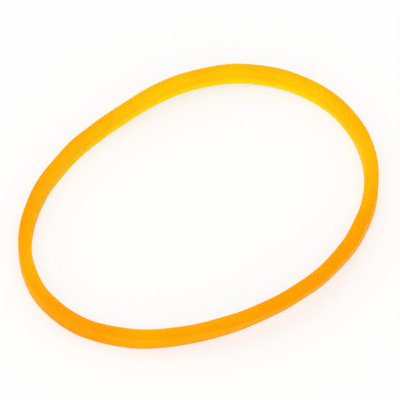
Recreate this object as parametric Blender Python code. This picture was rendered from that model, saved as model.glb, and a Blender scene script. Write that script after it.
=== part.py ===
"""A small rubber band: one endless loop of soft rubber, sliced from an extruded tube.

The loop lies loose on a flat surface. It is a little oval, and its own set holds a near
and a far stretch of it up in low arches, so that it rests on the stretches between them.
Units are metres, +Z is up, and the origin is the middle of the outline, at the foot.
"""

import math

import bpy

# Sizes of the band as it is sold
LAY_FLAT_LENGTH = 0.050
WALL_THICKNESS = 0.0013
CUT_WIDTH = 0.0015
EDGE_RADIUS = 0.00012
# The rounding of an edge takes at most this share of the side that it runs along
EDGE_SHARE = 0.45

# The loose loop seen from above: shares of its mean radius, and directions in degrees from +X
OVAL_SHARE = 0.136
OVAL_DIRECTION = 47.0
EGG_SHARE = 0.018
EGG_DIRECTION = -41.0
SQUARE_SHARE = 0.012
SQUARE_DIRECTION = -38.0
PENTAGON_SHARE = 0.005
PENTAGON_DIRECTION = 7.0

# The arches: direction of the crown, half of the span in degrees, rise and roll of the section
FAR_ARCH = {"direction": 100.0, "half_span": 60.0, "rise": 0.0005, "roll": -3.0}
NEAR_ARCH = {"direction": -58.0, "half_span": 76.0, "rise": 0.0008, "roll": 20.0}
ARCHES = (FAR_ARCH, NEAR_ARCH)

# Fineness of the mesh
STATION_SPACING = 0.0005
EDGE_STEPS = 3

# Look of the dyed natural rubber
RUBBER_COLOUR = (0.95, 0.36, 0.01)
RUBBER_ROUGHNESS = 0.5


def clear_scene():
    for leftover in list(bpy.data.objects):
        bpy.data.objects.remove(leftover, do_unlink=True)


def new_collection(name):
    collection = bpy.data.collections.new(name)
    bpy.context.scene.collection.children.link(collection)
    return collection


def orange_rubber():
    material = bpy.data.materials.new("orange_rubber")
    material.use_nodes = True
    shader = material.node_tree.nodes["Principled BSDF"]
    shader.inputs["Base Color"].default_value = (*RUBBER_COLOUR, 1.0)
    shader.inputs["Roughness"].default_value = RUBBER_ROUGHNESS
    shader.inputs["Metallic"].default_value = 0.0
    return material


def add_curve(name, points, collection):
    """One closed spline through the points, straight from each to the next."""
    curve = bpy.data.curves.new(name, "CURVE")
    curve.dimensions = "3D"
    spline = curve.splines.new("POLY")
    spline.points.add(len(points) - 1)
    for point, place in zip(spline.points, points):
        point.co = (*place, 1.0)
    spline.use_cyclic_u = True
    spline.use_smooth = True
    thing = bpy.data.objects.new(name, curve)
    collection.objects.link(thing)
    return thing


def section_outline():
    """The band cut across: the tube's wall by the cut width, with its edges just rounded.

    It runs clockwise, so that a loop that runs anticlockwise gets faces that point out.
    """
    radius = min(EDGE_RADIUS, EDGE_SHARE * WALL_THICKNESS, EDGE_SHARE * CUT_WIDTH)
    outline = []
    for corner in range(4):
        across = 1 if corner in (0, 3) else -1
        along = 1 if corner in (0, 1) else -1
        for step in range(EDGE_STEPS + 1):
            angle = math.radians(90 * corner + 90 * step / EDGE_STEPS)
            x = across * (WALL_THICKNESS / 2 - radius) + radius * math.cos(angle)
            y = along * (CUT_WIDTH / 2 - radius) + radius * math.sin(angle)
            outline.append((x, y, 0.0))
    outline.reverse()
    return outline


def relative_radius(degrees):
    """Distance from the middle to the loop's centreline, as a share of the mean radius."""
    oval = OVAL_SHARE * math.cos(2 * math.radians(degrees - OVAL_DIRECTION))
    egg = EGG_SHARE * math.cos(3 * math.radians(degrees - EGG_DIRECTION))
    square = SQUARE_SHARE * math.cos(4 * math.radians(degrees - SQUARE_DIRECTION))
    pentagon = PENTAGON_SHARE * math.cos(5 * math.radians(degrees - PENTAGON_DIRECTION))
    return 1 + oval + egg + square + pentagon


def arch_share(arch, degrees):
    """How much of an arch acts in a direction: one at its crown, none past its ends.

    The curve leaves the surface with no slope and no bend, as a springy strip does.
    """
    away = ((degrees - arch["direction"] + 180) % 360 - 180) / arch["half_span"]
    return max(0.0, 1 - away ** 2) ** 3


def centreline_length():
    """The inner wall is twice the lay-flat length around, and the centreline half a wall out."""
    return 2 * LAY_FLAT_LENGTH + math.pi * WALL_THICKNESS


def station_directions():
    count = round(centreline_length() / STATION_SPACING)
    return [360 * station / count for station in range(count)]


def loop_centreline():
    """Points along the middle of the band, at its true length, centred over the origin."""
    directions = station_directions()
    plan = []
    for degrees in directions:
        reach = relative_radius(degrees)
        plan.append((reach * math.cos(math.radians(degrees)), reach * math.sin(math.radians(degrees))))
    around = sum(math.dist(plan[index - 1], plan[index]) for index in range(len(plan)))
    scale = centreline_length() / around
    middle_x = (min(x for x, y in plan) + max(x for x, y in plan)) / 2
    middle_y = (min(y for x, y in plan) + max(y for x, y in plan)) / 2
    points = []
    for degrees, (x, y) in zip(directions, plan):
        rise = sum(arch["rise"] * arch_share(arch, degrees) for arch in ARCHES)
        points.append((scale * (x - middle_x), scale * (y - middle_y), CUT_WIDTH / 2 + rise))
    return points


def roll_section(spline):
    """The section leans over a little where the band is off the surface, and nowhere else."""
    for point, degrees in zip(spline.points, station_directions()):
        roll = sum(arch["roll"] * arch_share(arch, degrees) for arch in ARCHES)
        point.tilt = math.radians(roll)


def rubber_band(parts, guides):
    section = add_curve("section_guide", section_outline(), guides)
    section.hide_render = True
    section.display_type = "WIRE"
    band = add_curve("rubber_band", loop_centreline(), parts)
    band.data.twist_mode = "Z_UP"
    band.data.bevel_mode = "OBJECT"
    band.data.bevel_object = section
    band.data.materials.append(orange_rubber())
    roll_section(band.data.splines[0])
    return band


def main():
    clear_scene()
    parts = new_collection("rubber_band")
    guides = new_collection("rubber_band_guides")
    rubber_band(parts, guides)


main()
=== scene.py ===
import math

import bpy
import numpy as np
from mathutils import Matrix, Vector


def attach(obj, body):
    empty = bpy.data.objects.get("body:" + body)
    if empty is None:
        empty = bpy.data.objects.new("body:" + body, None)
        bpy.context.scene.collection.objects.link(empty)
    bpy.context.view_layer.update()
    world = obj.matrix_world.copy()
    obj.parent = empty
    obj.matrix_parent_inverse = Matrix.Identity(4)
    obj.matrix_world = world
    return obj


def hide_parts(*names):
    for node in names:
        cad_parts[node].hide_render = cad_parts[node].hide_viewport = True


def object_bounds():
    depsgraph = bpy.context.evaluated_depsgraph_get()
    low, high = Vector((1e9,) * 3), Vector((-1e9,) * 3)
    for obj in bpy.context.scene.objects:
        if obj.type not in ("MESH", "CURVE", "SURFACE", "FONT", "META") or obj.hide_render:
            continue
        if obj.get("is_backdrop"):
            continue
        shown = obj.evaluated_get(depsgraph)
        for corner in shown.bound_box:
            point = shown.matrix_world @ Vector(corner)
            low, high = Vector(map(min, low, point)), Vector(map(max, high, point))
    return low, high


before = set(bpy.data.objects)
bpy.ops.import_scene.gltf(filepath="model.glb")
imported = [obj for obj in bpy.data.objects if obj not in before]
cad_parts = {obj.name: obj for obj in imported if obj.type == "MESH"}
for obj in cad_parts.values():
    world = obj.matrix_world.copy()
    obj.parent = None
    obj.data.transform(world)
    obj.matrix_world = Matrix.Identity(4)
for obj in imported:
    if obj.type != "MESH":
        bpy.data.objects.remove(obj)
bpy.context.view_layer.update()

# Sizes of the band as it is sold, in metres, as in the solid model
LAY_FLAT_LENGTH = 0.050
WALL_THICKNESS = 0.0013
CUT_WIDTH = 0.0015
CENTRELINE_LENGTH = 2 * LAY_FLAT_LENGTH + math.pi * WALL_THICKNESS
TUBE_RADIUS = CENTRELINE_LENGTH / (2 * math.pi)

# The loose loop seen from above: shares of its mean radius, and directions in degrees from +X
OVAL_SHARE = 0.136
OVAL_DIRECTION = 47.0
EGG_SHARE = 0.018
EGG_DIRECTION = -41.0
SQUARE_SHARE = 0.012
SQUARE_DIRECTION = -38.0
PENTAGON_SHARE = 0.005
PENTAGON_DIRECTION = 7.0

# The arches: direction of the crown, half of the span in degrees, rise and roll of the section
FAR_ARCH = {"direction": 100.0, "half_span": 60.0, "rise": 0.0005, "roll": -3.0}
NEAR_ARCH = {"direction": -58.0, "half_span": 76.0, "rise": 0.0008, "roll": 20.0}
ARCHES = (FAR_ARCH, NEAR_ARCH)

# Fineness of the mesh. The section's faces are its top cut, bore wall, foot cut and outer wall.
PLAN_STEPS = 7200
STATIONS = 1800
FACE_STEPS = (12, 4, 12, 4)
EDGE_STEPS = 4

# What extrusion leaves: a bore a little off the middle of the tube, and walls that wander
OFF_CENTRE_BORE = 0.00004
OFF_CENTRE_DIRECTION = 40.0
WALL_WANDER = {"reach": 0.000012, "longest": 0.030, "shortest": 0.004}

# What the knife leaves: a cut on a slight slant that wanders, faces a little hollow,
# and edges that are sharper in some places than in others
KNIFE_SLANT = 0.00003
KNIFE_SLANT_DIRECTION = 115.0
KNIFE_WANDER = {"reach": 0.000022, "longest": 0.040, "shortest": 0.003}
KNIFE_DISH = 0.000018
EDGE_RADIUS = 0.00011
EDGE_WANDER = {"reach": 0.00003, "longest": 0.020, "shortest": 0.0025}

# Marks: ridges on the cuts, where the knife dragged over the ring one way, and lines that the
# die drew along the tube, which run across the band's walls. Real marks are closer together,
# and at their true size would not show. Crowding is the fewest and the most ridges in one
# spacing, and the lines' reach is in marks' heights.
MARK_HEIGHT = 0.000006
RIDGE_SPACING = 0.00036
RIDGE_CROWDING = (0.4, 1.3)
RIDGE_LENGTH = 0.004
RIDGE_WAVES = 60
DIE_LINES = {"reach": 1.0, "longest": 0.0007, "shortest": 0.00022}

# How the loose band strays from its smooth oval
SIDE_WANDER = {"reach": 0.00003, "longest": 0.014, "shortest": 0.005}

# Dye: orange, with painted light in it: painted yellower on the far side of the tube, as light from
# behind, and paler low on the bore's wall there, as a painted glow
ORANGE = "#ffa300"
YELLOW = "#ffcb00"
# Pale yellow of a painted glow, low on the bore's wall
PAINTED_GLOW_YELLOW = "#ffe600"

# Where the far side's painted yellow is, in degrees round the tube's axis and in shares of its
# radius
YELLOW_DIRECTION = 83.0
YELLOW_SPAN = (-0.35, 0.9)

# Share of the yellow from side to side (painted light), from the bore to the outside, and from
# patch to patch
YELLOW_SHARES = (0.22, 0.85)
BORE_TO_OUTSIDE = (0.08, -0.24)
PATCH_TO_PATCH = (-0.3, 0.3)

# Share of the painted glow's pale yellow from the foot up, and how far above the section's middle
# it ends, in shares of half the cut width
PAINTED_GLOW_SHARES = (1.1, 0.0)
PAINTED_GLOW_TOP = 0.7

# Patches in the dye: size in millimetres, place along the noise's fourth axis, and the span of
# the noise that the patches are drawn from
PATCH_SIZE = 11.0
PATCH_SLICE = 3.0
NOISE_SPAN = (0.3, 0.7)

# Grain of the skin, in millimetres, coarser than the real one so that it shows
GRAIN_SIZE = 0.11
GRAIN_DEPTH = 0.012

# Relief is the marks and the grain together. Its hollows get painted shade, a deeper colour, and
# are smoother.
MARKS_IN_RELIEF = 0.4
RELIEF_SPAN = (0.1, 0.9)
HOLLOW_SHADE_TINT = "#fce6b4"
HOLLOW_SHADE_SHARES = (0.32, 0.0)
WALL_ROUGHNESS = (0.42, 0.56)
ROUGHER_ON_CUTS = 0.12

# Shine and sheen are tinted like the dye, since white ones put more blue on the band than the
# photograph shows
SHINE_TINT = "#ffe16c"
SHEEN_TINT = "#ffdd27"

# Camera: the photograph's height of view, the distance, and the band's share of the width
VIEW_ELEVATION = 48.0
CAMERA_DISTANCE = 0.33
BAND_SHARE_OF_FRAME = 0.9
SENSOR_WIDTH = 36.0

# Light: name, place and power of each softbox, in metres and watts. The two at the sides are
# low and weak, and keep the band's walls there from going dull.
SOFTBOX_WIDTH = 0.6
SOFTBOXES = (
    ("front_softbox", (0.04, -0.46, 0.36), 1.25),
    ("back_softbox", (-0.06, 0.42, 0.40), 0.80),
    ("left_softbox", (-0.46, 0.0, 0.14), 0.45),
    ("right_softbox", (0.46, 0.0, 0.14), 0.15),
)
TENT_STRENGTH = 0.66

# Ground: its card, and the share of plain white that the camera sees in it
GROUND_SIZE = 3.0
CARD_COLOUR = "#fbfbfb"
CARD_GLOW_SHARE = 0.6

WHITE = "#ffffff"
METRES_TO_MM = 1000.0


def linear(hex_colour):
    """sRGB hex to a linear RGBA colour."""
    channels = [int(hex_colour[place:place + 2], 16) / 255 for place in (1, 3, 5)]
    bent = [c / 12.92 if c <= 0.04045 else ((c + 0.055) / 1.055) ** 2.4 for c in channels]
    return (*bent, 1.0)


def relative_radius(degrees):
    """Distance from the middle to the loop's centreline, as a share of the mean radius."""
    oval = OVAL_SHARE * np.cos(2 * np.radians(degrees - OVAL_DIRECTION))
    egg = EGG_SHARE * np.cos(3 * np.radians(degrees - EGG_DIRECTION))
    square = SQUARE_SHARE * np.cos(4 * np.radians(degrees - SQUARE_DIRECTION))
    pentagon = PENTAGON_SHARE * np.cos(5 * np.radians(degrees - PENTAGON_DIRECTION))
    return 1 + oval + egg + square + pentagon


def arch_share(arch, degrees):
    """How much of an arch acts in a direction: one at its crown, none past its ends."""
    away = ((degrees - arch["direction"] + 180) % 360 - 180) / arch["half_span"]
    return np.maximum(0.0, 1 - away ** 2) ** 3


def over_arches(name, degrees):
    """The arches' rise or roll at each direction."""
    return sum(arch[name] * arch_share(arch, degrees) for arch in ARCHES)


def plan_points(degrees):
    """The centreline seen from above, in shares of its mean radius."""
    reach = relative_radius(degrees)
    return np.stack([reach * np.cos(np.radians(degrees)), reach * np.sin(np.radians(degrees))], 1)


def loop_stations():
    """Points evenly spaced along the middle of the band, and the direction of each in degrees."""
    fine = np.linspace(0, 360, PLAN_STEPS, endpoint=False)
    plan = plan_points(fine)
    steps = np.linalg.norm(np.roll(plan, -1, 0) - plan, axis=1)
    travelled = np.concatenate([[0.0], np.cumsum(steps)])
    scale = CENTRELINE_LENGTH / travelled[-1]
    middle = (plan.min(0) + plan.max(0)) / 2
    wanted = np.linspace(0, travelled[-1], STATIONS, endpoint=False)
    degrees = np.interp(wanted, travelled, np.append(fine, 360.0))
    height = CUT_WIDTH / 2 + over_arches("rise", degrees)
    return np.column_stack([scale * (plan_points(degrees) - middle), height]), degrees


def unit(vectors):
    return vectors / np.linalg.norm(vectors, axis=-1, keepdims=True)


def section_axes(points, degrees):
    """The section's outward and upward axes at each station, rolled where the band is arched."""
    forward = unit(np.roll(points, -1, 0) - np.roll(points, 1, 0))
    outward = unit(np.cross(forward, (0.0, 0.0, 1.0)))
    upward = np.cross(outward, forward)
    roll = np.radians(over_arches("roll", degrees))[:, None]
    rolled_outward = np.cos(roll) * outward - np.sin(roll) * upward
    rolled_upward = np.sin(roll) * outward + np.cos(roll) * upward
    return rolled_outward, rolled_upward


def round_tube():
    """Angle of each station round the tube's axis, as the tube was cut."""
    return 2 * math.pi * np.arange(STATIONS) / STATIONS


def wander(waves, seed):
    """Smooth random change round the loop, within its reach at about 19 places of 20."""
    chance = np.random.RandomState(seed)
    first = max(1, round(CENTRELINE_LENGTH / waves["longest"]))
    last = round(CENTRELINE_LENGTH / waves["shortest"])
    total = np.zeros(STATIONS)
    for turns in range(first, last + 1):
        strength = chance.normal() / math.sqrt(turns)
        total += strength * np.cos(turns * round_tube() + 2 * math.pi * chance.uniform())
    return waves["reach"] * total / (2 * total.std())


def section_reach():
    """How far each side of the section lies from the centreline, all round the loop."""
    bore_shift = OFF_CENTRE_BORE * np.cos(round_tube() - math.radians(OFF_CENTRE_DIRECTION))
    slant = KNIFE_SLANT * np.cos(round_tube() - math.radians(KNIFE_SLANT_DIRECTION))
    outer = WALL_THICKNESS / 2 + bore_shift + wander(WALL_WANDER, seed=11)
    inner = WALL_THICKNESS / 2 + bore_shift + wander(WALL_WANDER, seed=12)
    top = CUT_WIDTH / 2 + slant + wander(KNIFE_WANDER, seed=13)
    # Squared, so that the foot only ever rises from the surface and the band still lies on it
    foot = CUT_WIDTH / 2 - wander(KNIFE_WANDER, seed=14) ** 2 / KNIFE_WANDER["reach"]
    return outer, top, inner, foot


def section_points():
    """Across and up places of the section's outline, one row for each station.

    The outline runs anticlockwise from the outer wall: four edges, and the faces between them.
    """
    outer, top, inner, foot = section_reach()
    corners = (
        (1, 1, outer, top), (-1, 1, inner, top), (-1, -1, inner, foot), (1, -1, outer, foot),
    )
    edges = []
    for number, (side, height, reach, rise) in enumerate(corners):
        radius = EDGE_RADIUS + wander(EDGE_WANDER, seed=21 + number)
        angles = np.radians(90 * number + np.linspace(0, 90, EDGE_STEPS + 1))
        across = (side * (reach - radius))[:, None] + radius[:, None] * np.cos(angles)
        up = (height * (rise - radius))[:, None] + radius[:, None] * np.sin(angles)
        edges.append(np.stack([across, up], 2))
    rows = []
    for number, steps in enumerate(FACE_STEPS):
        start = edges[number][:, -1:]
        end = edges[(number + 1) % 4][:, :1]
        share = (np.arange(1, steps) / steps)[None, :, None]
        rows += [edges[number], start + (end - start) * share]
    return np.concatenate(rows, 1)


def way_out():
    """The way out of the rubber at each point of the section's outline, across and up."""
    angles = []
    for number, steps in enumerate(FACE_STEPS):
        edge = 90 * number + np.linspace(0, 90, EDGE_STEPS + 1)
        face = np.full(steps - 1, 90 * number + 90)
        angles += [edge, face]
    angles = np.radians(np.concatenate(angles))
    return np.stack([np.cos(angles), np.sin(angles)], 1)


def tube_places(section):
    """Where each point was in the tube, before the ring was sliced off and laid down."""
    angle = round_tube()[:, None]
    radius = TUBE_RADIUS + section[..., 0]
    return np.stack([radius * np.cos(angle), radius * np.sin(angle), section[..., 1]], 2)


def knife_ridges(places, seed):
    """Ridges that lie one way across the ring, within a mark's height at 19 places of 20."""
    chance = np.random.RandomState(seed)
    x, y = places[..., 0], places[..., 1]
    total = np.zeros_like(x)
    for _ in range(RIDGE_WAVES):
        turns = 2 * math.pi * chance.uniform(*RIDGE_CROWDING) / RIDGE_SPACING
        lean = chance.normal() * RIDGE_SPACING / RIDGE_LENGTH
        total += np.cos(turns * (x + lean * y) + 2 * math.pi * chance.uniform())
    return total / (2 * total.std())


def rubber_marks(section, cut_share):
    """Height of the marks at each point: ridges on the cuts, and lines on the two walls."""
    outer_lines = wander(DIE_LINES, seed=15)[:, None]
    bore_lines = wander(DIE_LINES, seed=16)[:, None]
    lines = np.where(section[..., 0] < 0, bore_lines, outer_lines)
    return cut_share * knife_ridges(tube_places(section), seed=41) + (1 - cut_share) * lines


def carved(section, marks, cut_share):
    """The section with the marks raised from its surface, and its cuts hollowed out."""
    off_middle = np.minimum(1.0, np.abs(2 * section[..., 0] / WALL_THICKNESS))
    height = MARK_HEIGHT * marks - KNIFE_DISH * cut_share * (1 - off_middle ** 2)
    return section + height[..., None] * way_out()


def laid_down(section):
    """Places of the section's points round the loose loop, whose lowest point is at height zero."""
    centres, degrees = loop_stations()
    outward, upward = section_axes(centres, degrees)
    centres = centres + wander(SIDE_WANDER, seed=31)[:, None] * outward
    across, up = section[..., :1], section[..., 1:]
    places = centres[:, None] + across * outward[:, None] + up * upward[:, None]
    places[..., 2] -= places[..., 2].min()
    return places


def add_sign(mesh, name, kind, field, values):
    """Writes a value for each point of the mesh, which the material reads by its name."""
    sign = mesh.attributes.new(name, kind, "POINT")
    sign.data.foreach_set(field, values.astype(np.float32).ravel())


def band_mesh():
    """The endless band as one closed mesh, with the signs that its finish is drawn from."""
    smooth = section_points()
    across, up = way_out().T
    cut_share = up ** 2
    bore_share = np.where(across < 0, across ** 2, 0.0)
    marks = rubber_marks(smooth, cut_share)
    section = carved(smooth, marks, cut_share)
    places = laid_down(section)
    count = len(cut_share)
    here = np.arange(STATIONS * count).reshape(STATIONS, count)
    ahead = np.roll(here, -1, 0)
    faces = np.stack([here, ahead, np.roll(ahead, -1, 1), np.roll(here, -1, 1)], 2)
    mesh = bpy.data.meshes.new("rubber_loop")
    mesh.from_pydata(places.reshape(-1, 3).tolist(), [], faces.reshape(-1, 4).tolist())
    mesh.update()
    mesh.shade_smooth()
    add_sign(mesh, "as_cut", "FLOAT_VECTOR", "vector", METRES_TO_MM * tube_places(section))
    add_sign(mesh, "marks", "FLOAT", "value", marks)
    add_sign(mesh, "knife_cut", "FLOAT", "value", np.tile(cut_share, STATIONS))
    add_sign(mesh, "bore_wall", "FLOAT", "value", np.tile(bore_share, STATIONS))
    return mesh


def add_node(tree, kind, inputs=None, **settings):
    """Adds a shader node, sets its own settings, and sets or links each named input."""
    node = tree.nodes.new("ShaderNode" + kind)
    for name, value in settings.items():
        setattr(node, name, value)
    for name, value in (inputs or {}).items():
        if isinstance(value, bpy.types.NodeSocket):
            tree.links.new(value, node.inputs[name])
        else:
            node.inputs[name].default_value = value
    return node


def new_material(name):
    material = bpy.data.materials.new(name)
    material.use_nodes = True
    material.node_tree.nodes.clear()
    return material, material.node_tree


def dye_and_painted_light(tree, as_cut, knife_cut, bore_wall):
    """Orange dye that is not quite evenly mixed in.

    It is painted yellower on the far side of the tube, as light from behind, and paler still low
    on the bore's wall there, as a painted glow. On the cuts it is a little yellower towards the
    bore.
    """
    direction = math.radians(YELLOW_DIRECTION)
    reach = TUBE_RADIUS * METRES_TO_MM
    half_wall = WALL_THICKNESS / 2 * METRES_TO_MM
    half_cut = CUT_WIDTH / 2 * METRES_TO_MM
    across = add_node(tree, "VectorMath", {
        0: as_cut, 1: (math.cos(direction), math.sin(direction), 0.0),
    }, operation="DOT_PRODUCT")
    # Painted light: yellower towards the far side of the loop, standing in for light from behind
    far_side_painted_light = add_node(tree, "MapRange", {
        "Value": across.outputs["Value"],
        "From Min": YELLOW_SPAN[0] * reach, "From Max": YELLOW_SPAN[1] * reach,
        "To Min": YELLOW_SHARES[0], "To Max": YELLOW_SHARES[1],
    }, interpolation_type="SMOOTHSTEP")
    in_plane = add_node(tree, "VectorMath", {0: as_cut, 1: (1.0, 1.0, 0.0)}, operation="MULTIPLY")
    radius = add_node(tree, "VectorMath", {0: in_plane.outputs["Vector"]}, operation="LENGTH")
    bore_side = add_node(tree, "MapRange", {
        "Value": radius.outputs["Value"],
        "From Min": reach - half_wall, "From Max": reach + half_wall,
        "To Min": BORE_TO_OUTSIDE[0], "To Max": BORE_TO_OUTSIDE[1],
    })
    cut_side = add_node(tree, "Math", {
        0: bore_side.outputs["Result"], 1: knife_cut, 2: far_side_painted_light.outputs["Result"],
    }, operation="MULTIPLY_ADD")
    patches = add_node(tree, "TexNoise", {
        "Vector": as_cut, "W": PATCH_SLICE, "Scale": 1 / PATCH_SIZE, "Detail": 5.0,
    }, noise_dimensions="4D")
    uneven = add_node(tree, "MapRange", {
        "Value": patches.outputs["Fac"],
        "From Min": NOISE_SPAN[0], "From Max": NOISE_SPAN[1],
        "To Min": PATCH_TO_PATCH[0], "To Max": PATCH_TO_PATCH[1],
    })
    share = add_node(tree, "Math", {0: cut_side.outputs["Value"], 1: uneven.outputs["Result"]},
                     operation="ADD", use_clamp=True)
    # Orange to yellow by the far side's painted light and by real patches in the dye
    dye = add_node(tree, "Mix", {
        "Factor": share.outputs["Value"], 6: linear(ORANGE), 7: linear(YELLOW),
    }, data_type="RGBA")
    height = add_node(tree, "SeparateXYZ", {"Vector": as_cut})
    low = add_node(tree, "MapRange", {
        "Value": height.outputs["Z"],
        "From Min": -half_cut, "From Max": PAINTED_GLOW_TOP * half_cut,
        "To Min": PAINTED_GLOW_SHARES[0], "To Max": PAINTED_GLOW_SHARES[1],
    }, interpolation_type="SMOOTHSTEP")
    # Painted glow: paler low on the bore's wall, most on the far side, standing in for light from
    # the white ground
    painted_glow_low = add_node(tree, "Math", {0: low.outputs["Result"], 1: far_side_painted_light.outputs["Result"]},
                        operation="MULTIPLY")
    painted_glow_on_bore = add_node(tree, "Math", {0: painted_glow_low.outputs["Value"], 1: bore_wall},
                         operation="MULTIPLY")
    return add_node(tree, "Mix", {
        "Factor": painted_glow_on_bore.outputs["Value"], 6: dye.outputs[2], 7: linear(PAINTED_GLOW_YELLOW),
    }, data_type="RGBA").outputs[2]


def gum_rubber():
    """Natural gum rubber with an orange dye, extruded as a tube, cured and sliced.

    Gum rubber has no black or white filler, so light goes a little way in and the edges glow.
    The walls are satin and the sliced faces duller, and the grain breaks up what shine is left.
    That is kept far below smooth rubber's, because the photograph shows hardly any. The hollows
    between the ridges are painted deeper in colour, as painted shade.
    """
    material, tree = new_material("orange_gum_rubber")
    as_cut = add_node(tree, "Attribute", attribute_name="as_cut").outputs["Vector"]
    knife_cut = add_node(tree, "Attribute", attribute_name="knife_cut").outputs["Fac"]
    bore_wall = add_node(tree, "Attribute", attribute_name="bore_wall").outputs["Fac"]
    marks = add_node(tree, "Attribute", attribute_name="marks").outputs["Fac"]
    grain = add_node(tree, "TexNoise", {"Vector": as_cut, "Scale": 1 / GRAIN_SIZE, "Detail": 2.0})
    relief = add_node(tree, "Math", {0: marks, 1: MARKS_IN_RELIEF, 2: grain.outputs["Fac"]},
                      operation="MULTIPLY_ADD")
    dye = dye_and_painted_light(tree, as_cut, knife_cut, bore_wall)

    # Painted shade: the hollows of the relief are darkened to a deeper orange
    hollow = add_node(tree, "MapRange", {
        "Value": relief.outputs["Value"],
        "From Min": RELIEF_SPAN[0], "From Max": RELIEF_SPAN[1],
        "To Min": HOLLOW_SHADE_SHARES[0], "To Max": HOLLOW_SHADE_SHARES[1],
    })
    colour = add_node(tree, "Mix", {
        "Factor": hollow.outputs["Result"], 6: dye, 7: linear(HOLLOW_SHADE_TINT),
    }, data_type="RGBA", blend_type="MULTIPLY")

    satin = add_node(tree, "MapRange", {
        "Value": relief.outputs["Value"],
        "From Min": RELIEF_SPAN[0], "From Max": RELIEF_SPAN[1],
        "To Min": WALL_ROUGHNESS[0], "To Max": WALL_ROUGHNESS[1],
    })
    roughness = add_node(tree, "Math", {
        0: knife_cut, 1: ROUGHER_ON_CUTS, 2: satin.outputs["Result"],
    }, operation="MULTIPLY_ADD")
    bump = add_node(tree, "Bump", {
        "Height": grain.outputs["Fac"], "Strength": 1.0, "Distance": GRAIN_DEPTH / METRES_TO_MM,
    })
    shader = add_node(tree, "BsdfPrincipled", {
        "Base Color": colour.outputs[2],
        "Roughness": roughness.outputs["Value"],
        "Normal": bump.outputs["Normal"],
        "IOR": 1.52,
        "Specular IOR Level": 0.04,
        "Specular Tint": linear(SHINE_TINT),
        "Subsurface Weight": 0.4,
        "Subsurface Radius": (1.0, 0.45, 0.05),
        "Subsurface Scale": 0.0006,
        "Sheen Weight": 0.12,
        "Sheen Roughness": 0.4,
        "Sheen Tint": linear(SHEEN_TINT),
    })
    add_node(tree, "OutputMaterial", {"Surface": shader.outputs["BSDF"]})
    return material


def seen_directly(tree):
    """One where the camera sees a thing, straight on, mirrored or through something clear."""
    path = add_node(tree, "LightPath")
    mirrored = add_node(tree, "Math", {
        0: path.outputs["Is Camera Ray"], 1: path.outputs["Is Glossy Ray"],
    }, operation="MAXIMUM")
    seen = add_node(tree, "Math", {
        0: mirrored.outputs["Value"], 1: path.outputs["Is Transmission Ray"],
    }, operation="MAXIMUM")
    return seen.outputs["Value"]


def white_card():
    """Matt white card, which gives the eye an even ground and a soft shadow."""
    material, tree = new_material("white_card")
    card = add_node(tree, "BsdfDiffuse", {"Color": linear(CARD_COLOUR)})
    glow = add_node(tree, "Emission", {"Color": linear(WHITE), "Strength": 1.0})
    share = add_node(tree, "Math", {0: seen_directly(tree), 1: CARD_GLOW_SHARE},
                     operation="MULTIPLY")
    mix = add_node(tree, "MixShader", {
        "Fac": share.outputs["Value"], 1: card.outputs["BSDF"], 2: glow.outputs["Emission"],
    })
    add_node(tree, "OutputMaterial", {"Surface": mix.outputs["Shader"]})
    return material


def add_band():
    band = bpy.data.objects.new("rubber_loop", band_mesh())
    bpy.context.scene.collection.objects.link(band)
    band.data.materials.append(gum_rubber())
    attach(band, "root")
    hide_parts("rubber_band")


def add_ground():
    bpy.ops.mesh.primitive_plane_add(size=GROUND_SIZE)
    ground = bpy.context.object
    ground.name = "ground"
    ground.data.materials.append(white_card())
    ground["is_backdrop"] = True


def add_light_tent():
    """Even white light from all round."""
    world = bpy.data.worlds.new("light_tent")
    bpy.context.scene.world = world
    world.use_nodes = True
    tree = world.node_tree
    tree.nodes.clear()
    level = add_node(tree, "MapRange", {
        "Value": seen_directly(tree), "To Min": TENT_STRENGTH, "To Max": 1.0,
    })
    white = add_node(tree, "Background", {
        "Color": linear(WHITE), "Strength": level.outputs["Result"],
    })
    add_node(tree, "OutputWorld", {"Surface": white.outputs["Background"]})


def add_softbox(name, place, power):
    """A square softbox that faces the band."""
    lamp = bpy.data.lights.new(name, "AREA")
    lamp.size = SOFTBOX_WIDTH
    lamp.energy = power
    holder = bpy.data.objects.new(name, lamp)
    bpy.context.scene.collection.objects.link(holder)
    holder.location = place
    holder.rotation_euler = (-holder.location).to_track_quat("-Z", "Y").to_euler()


def add_camera():
    """Looks along +Y and down at the band, and frames its full width."""
    low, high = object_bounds()
    tilt = math.radians(VIEW_ELEVATION)
    camera = bpy.data.objects.new("camera", bpy.data.cameras.new("camera"))
    bpy.context.scene.collection.objects.link(camera)
    camera.location = (low + high) / 2
    camera.location.y -= CAMERA_DISTANCE * math.cos(tilt)
    camera.location.z += CAMERA_DISTANCE * math.sin(tilt)
    camera.rotation_euler = (math.pi / 2 - tilt, 0.0, 0.0)
    frame_width = (high.x - low.x) / BAND_SHARE_OF_FRAME
    camera.data.sensor_width = SENSOR_WIDTH
    camera.data.lens = SENSOR_WIDTH * CAMERA_DISTANCE / frame_width
    bpy.context.scene.camera = camera


add_band()
add_ground()
add_light_tent()
for softbox in SOFTBOXES:
    add_softbox(*softbox)
add_camera()

scene = bpy.context.scene
scene.view_settings.view_transform = "Standard"
